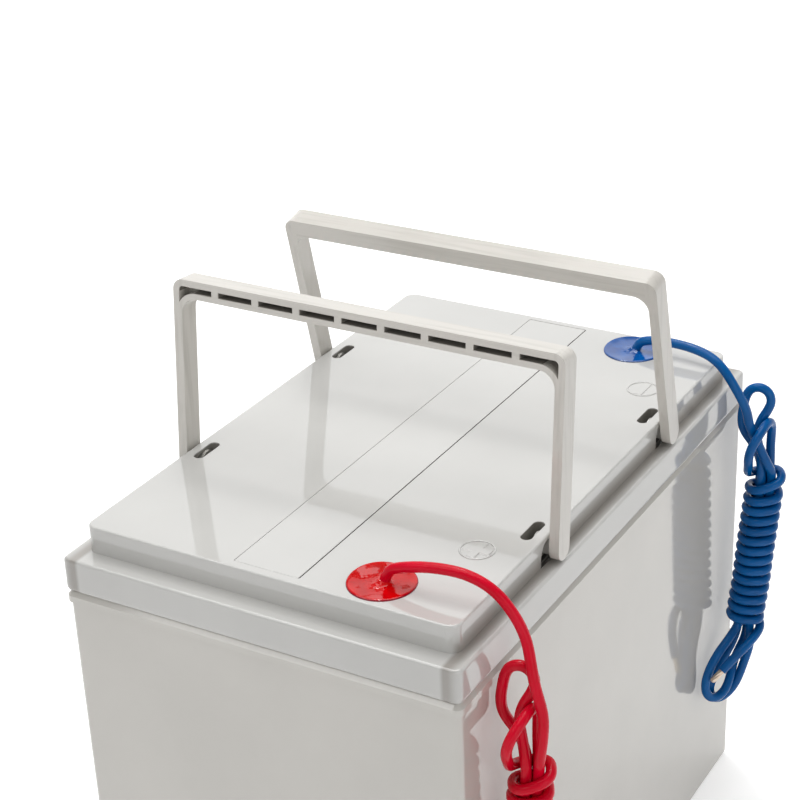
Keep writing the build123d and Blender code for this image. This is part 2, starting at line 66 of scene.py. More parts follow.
# %% Camera
def add_object(name, data):
    """An object with this data, at the scene's origin."""
    thing = bpy.data.objects.new(name, data)
    bpy.context.scene.collection.objects.link(thing)
    return thing


lens_data = bpy.data.cameras.new("studio_camera")
lens_data.sensor_width = 36.0
lens_data.lens = 88.62
lens_data.shift_x = -0.0177
lens_data.shift_y = -0.0560
lens_data.clip_start = 0.05
lens_data.clip_end = 50.0
lens_data.dof.use_dof = False
camera = add_object("studio_camera", lens_data)
camera.location = (0.3539, -0.6061, 0.5690)
camera.rotation_euler = np.radians((65.228, 2.038, 29.729))
bpy.context.scene.camera = camera
print("camera", tuple(round(c, 3) for c in camera.location))

# %% [markdown]
# ## The leads
# Each lead is one length of limp silicone wire, about 1.4 m long and 4 mm thick. It comes out of the
# resin, lies over the edge of the lid, and hangs in a hank: the wire is folded four times, and the rest
# of it is wound tightly round the folds. A limp wire is best made as a single smooth spline, whose
# control points lie a little outside its bends. The hank's points are written in a frame of its own,
# x across the hank, y up along it and z out towards the viewer's side, because both hanks share them.

# %% The hank's own frame
VIEWER_SIDE = (0.5, -0.86, 0.0)
up = np.array((5.0, 4.9, 66.5))
up = up / np.linalg.norm(up)
across = np.cross(up, VIEWER_SIDE)
across = across / np.linalg.norm(across)
out = np.cross(across, up)
BLUE_TOP = np.array((0.1005, 0.1155, 0.1540))  # middle of the first wrap
RED_TOP = np.array((0.0986, -0.1061, 0.1450))
LEAD = 0.0040  # thickness of a lead


def hang(top, points):
    """Place for each point of a hank: its top, plus x along across, y along up and z along out (mm)."""
    points = np.asarray(points, float) / 1000
    return top + points[:, :1] * across + points[:, 1:2] * up + points[:, 2:] * out


print("a hank leans", round(float(np.degrees(np.arccos(up[2]))), 1), "degrees")

# %% [markdown]
# ### Strands and wraps
# The four strands inside the wraps stand in a square, half of it 2.05 mm, so that they all but touch. The
# wraps go round that square, so each turn is a circle squeezed towards a square: its radius is
# 6.62 - 0.33 cos(4 angle). The turns are not perfectly level: the first is steep and loose, and lower
# down they tip the other way, as they do when a wire is wound by hand. All of this is in millimetres.

# %% Strands and wraps
HALF = 2.05
LEAN = -0.45  # middle of the strands beside the hank's axis
FIRST_WRAP, PITCH = 1.9, 4.94  # height of the first wrap, and fall of each turn
TIP, TIP_FALL = 0.9, 0.13  # how far out of level the first turn is, and how much less each next one
LOOSE_TURN, LOOSE_RISE, LOOSE_TIP = 0.6, 2.1, 1.6  # how soon the first turn settles, and what it adds
SWAY, SWAY_AT, SWAY_WIDTH = 0.3, -46, 10  # the lower wraps bulge to one side
WRAP, SQUEEZE = 6.62, 0.33
TURN_POINTS = 16
CUT_IN = 0.981  # radius of the spline as a share of its points', with 16 of them a turn


def strand(side, front, start, stop, count):
    """A straight strand: side and front are +1 or -1, and y goes evenly from start to stop."""
    y = np.linspace(start, stop, count)
    return np.stack([LEAN + side * HALF + 0 * y, y, front * HALF + 0 * y], axis=1)


def turns(first, last):
    """The wraps: y falls by PITCH a turn and tips by a share of cos(angle), x and z go round the squeezed
    circle, and loose, a bell over the first turn, lifts and tips that one further."""
    turn = np.arange(first, last + 1e-6, 1 / TURN_POINTS)
    angle = 2 * np.pi * turn
    loose = np.exp(-((turn / LOOSE_TURN) ** 2))
    level = FIRST_WRAP - PITCH * turn + LOOSE_RISE * loose
    y = level + (TIP - TIP_FALL * turn + LOOSE_TIP * loose) * np.cos(angle)
    sway = LEAN + SWAY * np.exp(-(((y - SWAY_AT) / SWAY_WIDTH) ** 2))
    radius = (WRAP - SQUEEZE * np.cos(4 * angle)) / CUT_IN
    return np.stack([sway + radius * np.cos(angle), y, radius * np.sin(angle)], axis=1)


wraps = turns(-0.125, 13.875)
print("14 wraps,", len(wraps), "points,", round(float(np.ptp(wraps[:, 1])), 1), "mm high")

# %% [markdown]
# ### Loops and folds
# Above and below the wraps the strands come out, turn over and go back in. No two of those folds are alike,
# so each has its own list of points: two low loops, a tall and a short one on top, the neck where the lead
# comes down into each hank, and the end that sticks out below. The low, wide and short loops, the free end
# and the top of the blue neck were not placed by hand: they began as rough points, which a separate solver
# moved to keep the strands apart and the bends wide. The tall loop was redrawn after that, and the points
# where loops meet strands were touched up. The lists are joined in the order in which a hand would fold the
# wire.

# %% Loops, necks and the whole hank
blue_neck = [(-12.8, 32.6, 6.8), (-10.5, 28.2, 5.6), (-8.3, 24.4, 5.0), (-6.2, 20.9, 4.8),
             (-4.2, 17.2, 5.0), (-2.0, 13.6, 5.3), (0.3, 10.0, 4.3), (1.4, 6.0, 2.7)]
red_neck = [(-4.5, 46.4, 1.8), (-3.0, 40.9, 3.6), (-1.0, 35.7, 4.9), (0.5, 30.8, 5.6),
            (1.0, 25.5, 5.8), (1.1, 20.2, 5.7), (1.0, 15.0, 5.2), (1.1, 10.4, 4.2), (1.4, 6.0, 2.7)]
low_loop = [(2.3, -72.3, 1.9), (3.1, -76.0, 2.3), (2.7, -79.9, 3.4), (1.5, -84.3, 4.6), (0.4, -89.1, 5.4),
            (-0.8, -93.6, 6.2), (-2.8, -97.7, 7.3), (-5.9, -101.0, 8.8), (-9.4, -102.3, 10.3),
            (-12.4, -100.9, 11.2), (-13.9, -97.6, 11.2), (-13.5, -93.3, 10.4), (-11.7, -88.9, 9.2),
            (-9.6, -85.0, 7.4), (-7.3, -81.4, 4.7), (-4.9, -78.2, 1.7), (-3.1, -74.4, -0.8),
            (-2.5, -70.2, -1.9)]
tall_loop = [(-2.7, 9.0, -2.1), (-3.7, 12.2, -2.8), (-5.4, 15.8, -4.2), (-7.9, 19.1, -5.4),
             (-10.8, 22.4, -5.9), (-12.8, 26.4, -5.7), (-13.5, 31.0, -5.4), (-13.3, 35.4, -5.5),
             (-12.9, 39.7, -5.6), (-11.5, 43.6, -5.0), (-7.8, 45.5, -3.4), (-4.0, 43.8, -1.8),
             (-2.5, 39.8, -1.0), (-3.8, 35.8, -0.7), (-5.7, 32.0, -0.7), (-6.8, 27.9, -0.6),
             (-6.7, 23.5, -0.5), (-5.6, 19.3, 0.1), (-4.6, 15.3, 0.9), (-3.8, 11.4, 1.7), (-3.0, 7.2, 2.1)]
wide_loop = [(-3.4, -69.4, 1.6), (-5.7, -72.2, 4.0), (-8.8, -74.5, 8.0), (-11.9, -76.9, 11.6),
             (-14.3, -80.5, 13.7), (-16.1, -84.8, 15.0), (-17.2, -89.3, 16.3), (-17.2, -93.6, 17.3),
             (-15.5, -96.9, 17.5), (-12.5, -98.3, 16.5), (-9.1, -97.6, 14.4), (-6.4, -95.2, 11.4),
             (-4.8, -92.0, 8.0), (-3.7, -88.6, 4.8), (-2.4, -85.1, 2.0), (-0.5, -81.5, -0.2),
             (1.2, -77.7, -1.6), (1.8, -73.1, -2.1)]
short_loop = [(1.2, 9.0, -2.0), (0.9, 13.1, -2.7), (0.4, 17.6, -3.4), (0.0, 22.8, -3.3),
              (-0.6, 28.0, -2.1), (-2.3, 31.4, 0.5), (-5.0, 31.4, 4.6), (-7.8, 29.0, 8.8),
              (-10.0, 25.9, 10.8), (-11.4, 21.5, 10.9), (-11.3, 16.8, 9.2), (-10.3, 13.0, 6.6),
              (-9.5, 9.6, 3.6), (-8.6, 6.6, 0.1), (-6.9, 4.7, -3.5), (-3.6, 4.3, -6.4), (0.9, 5.1, -7.0)]
free_end = [(7.5, -67.9, -0.8), (5.5, -69.9, 5.1), (-0.1, -73.2, 11.2), (-6.3, -77.7, 15.8),
            (-11.1, -83.2, 17.7)]
hank_points = np.concatenate([
    strand(1, 1, 0, -66, 7), low_loop, strand(-1, -1, -66, 5, 7), tall_loop,
    strand(-1, 1, 2, -64, 7), wide_loop, strand(1, -1, -68, 4, 8), short_loop,
    wraps, free_end])
print("hank points", len(hank_points))

# %% [markdown]
# ### One spline for each lead
# The first points follow the lead out of its ferrule, up through the resin and over the side. A NURBS
# spline of order 3 along such points is smooth everywhere. Its order and end rule are set after the
# points are in, because Blender cuts the order down while a spline is still short.

# %% Routes over the side
blue_route = np.array([
    (41.2, 106.8, 198.5), (41.2, 106.8, 214.6), (50.0, 108.0, 217.2), (61.5, 107.7, 217.6),
    (71.2, 106.3, 217.2), (78.8, 104.4, 215.8), (84.8, 102.4, 212.4), (89.2, 101.4, 207.2),
    (92.8, 102.6, 200.4), (94.9, 104.6, 193.6)]) / 1000
red_route = np.array([
    (41.2, -106.8, 198.5), (41.2, -106.8, 215.8), (50.5, -105.6, 219.2), (62.0, -104.6, 221.3),
    (73.6, -103.9, 221.5), (83.7, -103.4, 217.8), (90.9, -102.9, 209.8), (95.5, -102.8, 200.8)]) / 1000
print("route points", len(blue_route), "and", len(red_route))

# %% Make the leads
SMOOTHNESS = 5  # steps between two points, and round a quarter of the section


def curve_length(points):
    """Length of a spline of order 3. It is a row of parabolas that start and end at the middles of its
    legs: (1-s)^2 first + 2s(1-s) corner + s^2 last, summed over 24 steps each."""
    first = np.vstack([points[:1], (points[1:-2] + points[2:-1]) / 2])
    last = np.vstack([(points[1:-2] + points[2:-1]) / 2, points[-1:]])
    share = np.linspace(0, 1, 25)[:, None, None]
    line = (1 - share) ** 2 * first + 2 * share * (1 - share) * points[1:-1] + share**2 * last
    return float(np.linalg.norm(np.diff(line, axis=0), axis=2).sum())


def make_lead(name, route, top, neck):
    """A lead: one spline along its route, its neck and the hank, swept by a round section 4 mm across.
    The section's radius is the points' own radius times bevel_depth, and the box that Blender keeps of a
    curve is its points' box grown by their radius, so the points hold the real one and bevel_depth is 1."""
    points = np.vstack([route, hang(top, neck), hang(top, hank_points)])
    curve = bpy.data.curves.new(name, "CURVE")
    curve.dimensions = "3D"
    spline = curve.splines.new("NURBS")
    spline.points.add(len(points) - 1)
    spline.points.foreach_set("co", np.hstack([points, np.ones((len(points), 1))]).ravel())
    spline.points.foreach_set("radius", np.full(len(points), LEAD / 2))
    spline.order_u = 3
    spline.use_endpoint_u = True
    spline.resolution_u = SMOOTHNESS
    curve.resolution_u = SMOOTHNESS
    curve.render_resolution_u = SMOOTHNESS
    curve.bevel_depth = 1.0
    curve.bevel_resolution = SMOOTHNESS
    curve.use_fill_caps = True
    length = curve_length(points)
    print(name, "is", round(length, 3), "m long")
    return add_object(name, curve), length


blue_lead, blue_length = make_lead("blue_lead_wire", blue_route, BLUE_TOP, blue_neck)
red_lead, red_length = make_lead("red_lead_wire", red_route, RED_TOP, red_neck)

# %% [markdown]
# ### Bare ends
# The jacket is stripped from the last few millimetres of each lead, and the strands there are twisted
# and dipped in solder. That end is a short rod whose section has seven soft lobes, which turn slowly
# along it, so that light runs down it in a spiral. It is a grid of rings and spokes, made a mesh by two
# helpers that the resin and the raised marks use again.

# %% Grids of points made into pieces
def grid_faces(rings, spokes):
    """Quads between neighbouring rings of a closed grid; ring i is points i*spokes onward."""
    ring, spoke = np.meshgrid(np.arange(rings - 1), np.arange(spokes), indexing="ij")
    here = ring * spokes + spoke
    beside = ring * spokes + (spoke + 1) % spokes
    return np.stack([here, beside, beside + spokes, here + spokes], axis=-1).reshape(-1, 4)


def mesh_piece(name, points, faces, smooth=True):
    """A mesh object at the origin, made of points in metres and faces that point outwards."""
    mesh = bpy.data.meshes.new(name)
    mesh.from_pydata(points.tolist(), [], [tuple(f) for f in faces])
    mesh.polygons.foreach_set("use_smooth", [smooth] * len(mesh.polygons))
    return add_object(name, mesh)


print("one ring of 6 spokes makes", len(grid_faces(2, 6)), "quads")

# %% Stripped ends
END_LENGTH, END_RADIUS, END_HIDDEN = 0.008, 0.00125, 0.0012  # the last is inside the jacket
END_SPOKES = 42
ROUNDED = 0.14  # share of the end that is rounded off


def stripped_end(name, last, before):
    """A rod along the lead's last run. Its radius is END_RADIUS (1 + 0.09 cos(7 angle - 9 share)), where
    share goes from 0 to 1 along it, and over the rounded part that is times a quarter circle."""
    along = (last - before) / np.linalg.norm(last - before)
    first = np.cross(along, (0.0, 0.0, 1.0))
    first = first / np.linalg.norm(first)
    second = np.cross(along, first)
    share = np.concatenate([np.linspace(0, 0.92, 24), (0.95, 0.975, 0.99, 0.998)])
    angle = np.arange(END_SPOKES) * 2 * np.pi / END_SPOKES
    s, a = np.meshgrid(share, angle, indexing="ij")
    tip = np.sqrt(1 - np.clip((s - (1 - ROUNDED)) / ROUNDED, 0, 1) ** 2)
    r = END_RADIUS * (1 + 0.09 * np.cos(7 * a - 9 * s)) * tip
    points = (last - END_HIDDEN * along + END_LENGTH * s[..., None] * along
              + r[..., None] * (np.cos(a)[..., None] * first + np.sin(a)[..., None] * second))
    caps = [list(range(END_SPOKES - 1, -1, -1)),
            list(range((len(share) - 1) * END_SPOKES, len(share) * END_SPOKES))]
    piece = mesh_piece(name, points.reshape(-1, 3), grid_faces(len(share), END_SPOKES).tolist() + caps)
    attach(piece, "case")
    return piece


ends = {}
for piece, colour, length, route, top in ((blue_lead, "blue", blue_length, blue_route, BLUE_TOP),
                                          (red_lead, "red", red_length, red_route, RED_TOP)):
    before, last = hang(top, hank_points[-2:])
    ends[colour] = stripped_end(f"{colour}_stripped_end", last, before)
    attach(piece, "case")
    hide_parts(f"{colour}_lead", f"{colour}_hank")
print("stripped ends made")

# %% [markdown]
# ## Finishes
# Every finish is a Principled shader fed by a few nodes. One helper makes a node and joins its inputs,
# and small ones on top of it make noise, masks and tints, so that each recipe below reads like a list of
# what the surface really shows. Numbers that hold all over a surface go straight on the shader.

# %% Nodes
FACTOR, FIRST, SECOND, FIRST_COLOUR, SECOND_COLOUR, MIXED_COLOUR = 0, 2, 3, 6, 7, 2  # Mix sockets


def add_node(tree, kind, inputs=None, **settings):
    """A node of this kind, with its settings; each input is given a value or another node's output."""
    node = tree.nodes.new("ShaderNode" + kind)
    for name, setting in settings.items():
        setattr(node, name, setting)
    for socket, value in (inputs or {}).items():
        if isinstance(value, bpy.types.NodeSocket):
            tree.links.new(value, node.inputs[socket])
        else:
            node.inputs[socket].default_value = value
    return node


def calculate(tree, operation, *values):
    """The result of a Math node; each value is a number or another node's output."""
    return add_node(tree, "Math", dict(enumerate(values)), operation=operation).outputs[0]


def map_range(tree, value, low, high, to_low=0.0, to_high=1.0, curve="LINEAR"):
    """Goes from to_low to to_high as the value goes from low to high."""
    inputs = {"Value": value, "From Min": low, "From Max": high, "To Min": to_low, "To Max": to_high}
    return add_node(tree, "MapRange", inputs, interpolation_type=curve).outputs["Result"]


def own_place(tree):
    """The point's place on the piece itself, in metres."""
    return add_node(tree, "TexCoord").outputs["Object"]


print("node helpers ready")

# %% Colour, roughness and bump
COLOUR_BAND = (0.35, 0.65)  # noise below and above this band is all one colour


def new_finish(name, colour, roughness, **sockets):
    """A material with one Principled shader; the constants go straight on its sockets."""
    finish = bpy.data.materials.new(name)
    finish.use_nodes = True
    shader = finish.node_tree.nodes["Principled BSDF"]
    shader.inputs["Base Color"].default_value = (*colour, 1)
    shader.inputs["Roughness"].default_value = roughness
    for socket, value in sockets.items():
        shader.inputs[socket.replace("_", " ")].default_value = value
    finish.diffuse_color = (*colour, 1)
    return finish, shader


def add_noise(finish, scale, detail, stretch=(1, 1, 1)):
    """Noise on the piece's own coordinates; scale is how many blobs fit in a metre."""
    tree = finish.node_tree
    stretched = add_node(tree, "Mapping", {"Vector": own_place(tree), "Scale": stretch}).outputs["Vector"]
    noise = add_node(tree, "TexNoise", {"Vector": stretched, "Scale": scale, "Detail": detail})
    return noise.outputs["Fac"]


def blend_colour(finish, shader, fac, first, second):
    """Base colour goes from first to second as fac crosses the colour band."""
    ramp = add_node(finish.node_tree, "ValToRGB", {"Fac": fac})
    for element, position, colour in zip(ramp.color_ramp.elements, COLOUR_BAND, (first, second)):
        element.position = position
        element.color = (*colour, 1)
    finish.node_tree.links.new(ramp.outputs["Color"], shader.inputs["Base Color"])


def vary_roughness(finish, shader, fac, low, high):
    """Roughness runs from low to high as fac goes from 0 to 1."""
    tree = finish.node_tree
    tree.links.new(map_range(tree, fac, 0.0, 1.0, low, high), shader.inputs["Roughness"])


def add_bump(finish, shader, height, depth):
    """Bump whose full height is depth metres."""
    bump = add_node(finish.node_tree, "Bump", {"Height": height, "Distance": depth, "Strength": 1.0})
    finish.node_tree.links.new(bump.outputs["Normal"], shader.inputs["Normal"])


print("finish helpers ready")

# %% Masks and tints
def box_mask(finish, x, y, z, turn=0.0, about=(0.0, 0.0, 0.0)):
    """1 inside a box and 0 outside; each of x, y, z is (middle, half) in metres. x is a distance from
    the middle plane, and so is y, unless the box is turned about the X axis (degrees)."""
    tree = finish.node_tree
    shift = add_node(tree, "Mapping", {"Vector": own_place(tree), "Location": tuple(-c for c in about)})
    lean = add_node(tree, "Mapping", {"Vector": shift.outputs["Vector"],
                                      "Rotation": (np.radians(turn), 0, 0)})
    axes = add_node(tree, "SeparateXYZ", {"Vector": lean.outputs["Vector"]}).outputs
    mask = None
    for axis, (middle, half) in zip("XYZ", (x, y, z)):
        value = axes[axis]
        if axis == "X" or (axis == "Y" and turn == 0.0):
            value = calculate(tree, "ABSOLUTE", value)
        near = calculate(tree, "COMPARE", value, middle, half)
        mask = near if mask is None else calculate(tree, "MULTIPLY", mask, near)
    return mask


def tint_where(finish, shader, mask, colour):
    """Where the mask is 1 the base colour turns to colour; elsewhere it stays."""
    tree = finish.node_tree
    socket = shader.inputs["Base Color"]
    inputs = {FACTOR: mask, FIRST_COLOUR: socket.links[0].from_socket, SECOND_COLOUR: (*colour, 1)}
    mix = add_node(tree, "Mix", inputs, data_type="RGBA")
    tree.links.new(mix.outputs[MIXED_COLOUR], socket)


print("masks ready")

# %% [markdown]
# ### Moulded ABS
# The lid and container are grey ABS. The deck came off a polished steel face, so it mirrors the
# handles softly. Fine noise moves the colour by about two percent, and a very shallow wave gives the
# slight orange peel of a large moulding. The container is a little duller, and the handles are duller
# still.

# %% Case plastic
PALER, DARKER = 1.02, 0.975  # the two ends of the cloud in the colour
SMOOTHER, ROUGHER = 0.7, 1.4  # the two ends of the smears in the gloss
POLISH_WAVE, WALL_WAVE, HANDLE_WAVE = 0.000003, 0.000008, 0.000014  # depth of the orange peel


def moulded_abs(name, colour, gloss, wave_depth, shine):
    """Grey ABS: a faint cloud in the colour, roughness round gloss, and an orange-peel wave."""
    finish, shader = new_finish(name, colour, gloss, Specular_IOR_Level=shine)
    pale = tuple(min(1, c * PALER) for c in colour)
    dark = tuple(c * DARKER for c in colour)
    blend_colour(finish, shader, add_noise(finish, 22, 4), dark, pale)
    smear = add_noise(finish, 60, 5, (1, 0.35, 1))
    vary_roughness(finish, shader, smear, SMOOTHER * gloss, ROUGHER * gloss)
    add_bump(finish, shader, add_noise(finish, 260, 2), wave_depth)
    return finish, shader


deck_plastic, deck_shader = moulded_abs("polished_grey_abs", (0.555, 0.55, 0.53), 0.05, POLISH_WAVE, 1.0)
wall_plastic, _ = moulded_abs("satin_grey_abs", (0.60, 0.58, 0.54), 0.06, WALL_WAVE, 0.85)
cover_plastic, cover_shader = moulded_abs(
    "cover_grey_abs", (0.57, 0.565, 0.545), 0.05, POLISH_WAVE, 1.0)
print("case plastics ready")

# %% [markdown]
# ### Painted shade beside the deck
# The corner between the deck and the ledge lies in shade along both sides, and that shade is painted into
# the colour: a warm grey tint whose mask is a product of three smooth fades, two across and one up.

# %% Painted shade beside the deck
CORNER_SHADE_OUTER = (0.0838, 0.0790)  # distance from the middle plane: none yet, and full
CORNER_SHADE_INNER = (0.0760, 0.0780)
CORNER_SHADE_BELOW_DECK = (0.0012, 0.0098)  # depth: none yet, and full


def painted_corner_shade(finish, shader, colour):
    """Painted shade in the corner beside the deck: full at the deck's foot, gone 5 mm out and 9 mm up."""
    tree = finish.node_tree
    axes = add_node(tree, "SeparateXYZ", {"Vector": own_place(tree)}).outputs
    side = calculate(tree, "ABSOLUTE", axes["X"])
    outer = map_range(tree, side, *CORNER_SHADE_OUTER, curve="SMOOTHSTEP")
    inner = map_range(tree, side, *CORNER_SHADE_INNER, curve="SMOOTHSTEP")
    height = map_range(tree, axes["Z"], *(DECK - d for d in CORNER_SHADE_BELOW_DECK), curve="SMOOTHSTEP")
    mask = calculate(tree, "MULTIPLY", calculate(tree, "MULTIPLY", outer, inner), height)
    tint_where(finish, shader, mask, colour)


# The warm grey is painted shade in the corner between the deck and the ledge.
painted_corner_shade(deck_plastic, deck_shader, (0.33, 0.31, 0.285))
print("painted shade laid along the deck")

# %% [markdown]
# ### Painted shade in the lid's dark corners
# Little light gets to the bottom of the four hinge slots, the recesses behind the handles' feet or the gap
# along the vent cover, so their shade is painted into the colour. A mask that is 1 inside a box and 0
# outside it darkens just those walls with painted shade. Each box is given as the middle and half of its x,
# y and z.

# %% Painted shade in the slots, recesses and the vent gap
SLOT_SHADE_BOX = ((0.0731, 0.0036), (0.0516, 0.0076), (DECK - 0.0065, 0.0061))
RECESS_SHADE_BOX = ((0.07735, 0.0011), (0.0516, 0.0066), (DECK - 0.0062, 0.0048))
VENT_GAP_SHADE_BOX = ((0.0137, 0.0005), (0.0, 0.2), (DECK - 0.0012, 0.00108))
# Each tint is painted shade: grey in the hinge slots, near black in the recesses and the vent gap.
for finish, shader, box, colour in (
        (deck_plastic, deck_shader, SLOT_SHADE_BOX, (0.28, 0.27, 0.245)),
        (deck_plastic, deck_shader, RECESS_SHADE_BOX, (0.03, 0.028, 0.025)),
        (cover_plastic, cover_shader, VENT_GAP_SHADE_BOX, (0.06, 0.057, 0.053))):
    tint_where(finish, shader, box_mask(finish, *box), colour)
print("dark corners of the lid done")

# %% [markdown]
# ### Handles
# The handles are the part that hands and straps touch. Faint drag marks run along the bar, and up and down
# the arms: noise drawn out along one axis, and along another at the ends. The pockets in the bar and the
# pins are darker with painted shade. The handles lean, so those boxes are turned with them about the hinge.

# %% Handle plastic
HANDLE_LEAN = {"front_bail": 5.0, "rear_bail": -13.3}  # degrees
DRAG_SCALE, DRAWN_OUT = 420, 0.06
DRAG_BAND = (0.50, 0.72)  # noise below the band leaves no mark
ARM_BOX = ((0.0825, 0.0035), (0.0, 1.0), (0.0, 1.0))
POCKET_X, POCKET_Z = (0.0, 0.0813), (0.07195, 0.00125)  # from the hinge
POCKET_OUT, POCKET_HALF = 0.00075, 0.00315
PIN_SHADE_BOX = ((0.0, 0.0795), (0.0, 0.006), (0.0, 0.006))


def drag_marks(finish, shader, colour):
    """Streaks of a duller colour, which run along the bar, and up and down the arms at its ends."""
    tree = finish.node_tree
    bar = add_noise(finish, DRAG_SCALE, 3, (DRAWN_OUT, 1, 1))
    arm = add_noise(finish, DRAG_SCALE, 3, (1, 1, DRAWN_OUT))
    streaks = add_node(tree, "Mix", {FACTOR: box_mask(finish, *ARM_BOX), FIRST: bar, SECOND: arm})
    tint_where(finish, shader, map_range(tree, streaks.outputs[0], *DRAG_BAND), colour)


hinge = {joint["child"]: joint["pos_m"] for joint in frame["record"]["behaviour"]["joints"]}
handle_plastics = {}
for bail, lean in HANDLE_LEAN.items():
    finish, shader = moulded_abs(f"{bail}_abs", (0.61, 0.585, 0.54), 0.17, HANDLE_WAVE, 0.8)
    outward = 1 if lean < 0 else -1
    drag_marks(finish, shader, (0.54, 0.5175, 0.4725))
    # The dark tint in the pockets and the grey one on the pins are painted shade.
    pocket = box_mask(finish, POCKET_X, (outward * POCKET_OUT, POCKET_HALF), POCKET_Z, lean, hinge[bail])
    tint_where(finish, shader, pocket, (0.24, 0.225, 0.20))
    tint_where(finish, shader, box_mask(finish, *PIN_SHADE_BOX, lean, hinge[bail]), (0.42, 0.41, 0.38))
    handle_plastics[bail] = finish
print("handle plastics ready")

# %% [markdown]
# ### Wire jackets and hidden parts
# The jackets are smooth silicone with a soft highlight. Lead, rubber, separators and copper are almost
# out of sight, but each still gets its own finish, because the battery can be opened in another view.

# %% Jackets, metals and rubber
def silicone(name, colour, shade, shine):
    """Silicone jacket: a narrow highlight along its length, and faint darker patches."""
    finish, shader = new_finish(name, colour, 0.2, Specular_IOR_Level=shine)
    blend_colour(finish, shader, add_noise(finish, 90, 3), shade, colour)
    grain = add_noise(finish, 900, 2)
    vary_roughness(finish, shader, grain, 0.14, 0.24)
    add_bump(finish, shader, grain, 0.00001)
    return finish


def dull_metal(name, colour, shade, roughness):
    """Cast or drawn metal: a mottled skin over fine grain."""
    finish, shader = new_finish(name, colour, roughness, Metallic=1.0)
    cloud = add_noise(finish, 140, 5)
    blend_colour(finish, shader, cloud, shade, colour)
    vary_roughness(finish, shader, cloud, roughness - 0.1, roughness + 0.12)
    add_bump(finish, shader, cloud, 0.00006)
    return finish


def soft_matter(name, colour, shade, roughness, grain_scale):
    """Rubber, felt or epoxy: matt, with a fine grain."""
    finish, shader = new_finish(name, colour, roughness)
    grain = add_noise(finish, grain_scale, 4)
    blend_colour(finish, shader, grain, shade, colour)
    add_bump(finish, shader, grain, 0.00005)
    return finish


blue_jacket = silicone("blue_silicone", (0.0004, 0.105, 0.345), (0.0004, 0.082, 0.28), 0.2)
red_jacket = silicone("red_silicone", (0.68, 0.002, 0.024), (0.61, 0.0015, 0.018), 0.15)
cast_lead = dull_metal("cast_lead", (0.34, 0.35, 0.37), (0.22, 0.23, 0.25), 0.5)
lead_paste = soft_matter("brown_lead_paste", (0.17, 0.08, 0.045), (0.10, 0.045, 0.025), 0.9, 700)
grey_paste = soft_matter("grey_lead_paste", (0.26, 0.27, 0.28), (0.18, 0.19, 0.2), 0.85, 700)
separator_felt = soft_matter("glass_felt", (0.78, 0.78, 0.74), (0.66, 0.66, 0.62), 0.95, 1500)
valve_rubber = soft_matter("valve_rubber", (0.025, 0.025, 0.027), (0.016, 0.016, 0.017), 0.6, 600)
bead_epoxy = soft_matter("bead_epoxy", (0.04, 0.04, 0.045), (0.025, 0.025, 0.028), 0.4, 400)
tinned_copper = dull_metal("tinned_copper", (0.72, 0.62, 0.52), (0.55, 0.42, 0.32), 0.32)
print("jackets and hidden finishes ready")

# %% Dress the pieces
finishes = {
    "container": wall_plastic, "lid": deck_plastic, "vent_cover": cover_plastic,
    "front_handle": handle_plastics["front_bail"], "rear_handle": handle_plastics["rear_bail"],
    "lid_sealant": bead_epoxy, "relief_valves": valve_rubber, "post_seals": valve_rubber,
    "positive_plates": lead_paste, "negative_plates": grey_paste, "separators": separator_felt,
    "intercell_welds": cast_lead, "positive_post": cast_lead, "negative_post": cast_lead,
    "positive_ferrule": tinned_copper, "negative_ferrule": tinned_copper,
    "red_lead": red_jacket, "red_hank": red_jacket, "blue_lead": blue_jacket, "blue_hank": blue_jacket,
}


def dress(piece, finish):
    """Puts one finish in a piece's only material slot."""
    piece.data.materials.clear()
    piece.data.materials.append(finish)


for node, finish in finishes.items():
    dress(nodes[node], finish)
dress(blue_lead, blue_jacket)
dress(red_lead, red_jacket)
dress(ends["blue"], tinned_copper)
dress(ends["red"], tinned_copper)
print("dressed", len(finishes), "nodes")

# %% [markdown]
# ## The resin caps
# Each terminal well is filled with coloured resin. It was poured by hand, so its skin is glossy and uneven:
# it creeps up the lead and up the wall of the well, more so at the rear left, and keeps a few ripples. The
# CAD disc is plain, so a new skin replaces it. The finish is saturated and mirror smooth, with a thin
# painted dark reflection where the resin meets its well.

# %% Resin finish
# The dark line round each resin cap is a painted dark reflection, a tint and not a shape.
RIM_REFLECTION_LINE = 0.0002  # the line fades in from this far inside the well's edge to this far outside it


def painted_rim_reflection(finish, shader, node, colour):
    """Painted dark reflection where the resin meets its well: a tint by the distance from the well's
    middle.
    """
    low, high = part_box(node)
    tree = finish.node_tree
    radius = (high.x - low.x) / 2
    centred = add_node(tree, "Mapping", {
        "Vector": own_place(tree), "Location": (-(low.x + high.x) / 2, -(low.y + high.y) / 2, 0),
        "Scale": (1, 1, 0)})
    distance = add_node(tree, "VectorMath", {0: centred.outputs["Vector"]}, operation="LENGTH")
    rim = map_range(tree, distance.outputs["Value"], radius - RIM_REFLECTION_LINE, radius + RIM_REFLECTION_LINE)
    tint_where(finish, shader, rim, colour)


def cast_resin(name, node, colour, depth_colour, rim_reflection_colour, shine):
    """Wet-looking resin: a saturated body under a mirror-smooth skin."""
    finish, shader = new_finish(name, colour, 0.04, Specular_IOR_Level=shine)
    blend_colour(finish, shader, add_noise(finish, 120, 3), depth_colour, colour)
    add_bump(finish, shader, add_noise(finish, 210, 2), 0.00005)
    painted_rim_reflection(finish, shader, node, rim_reflection_colour)
    return finish


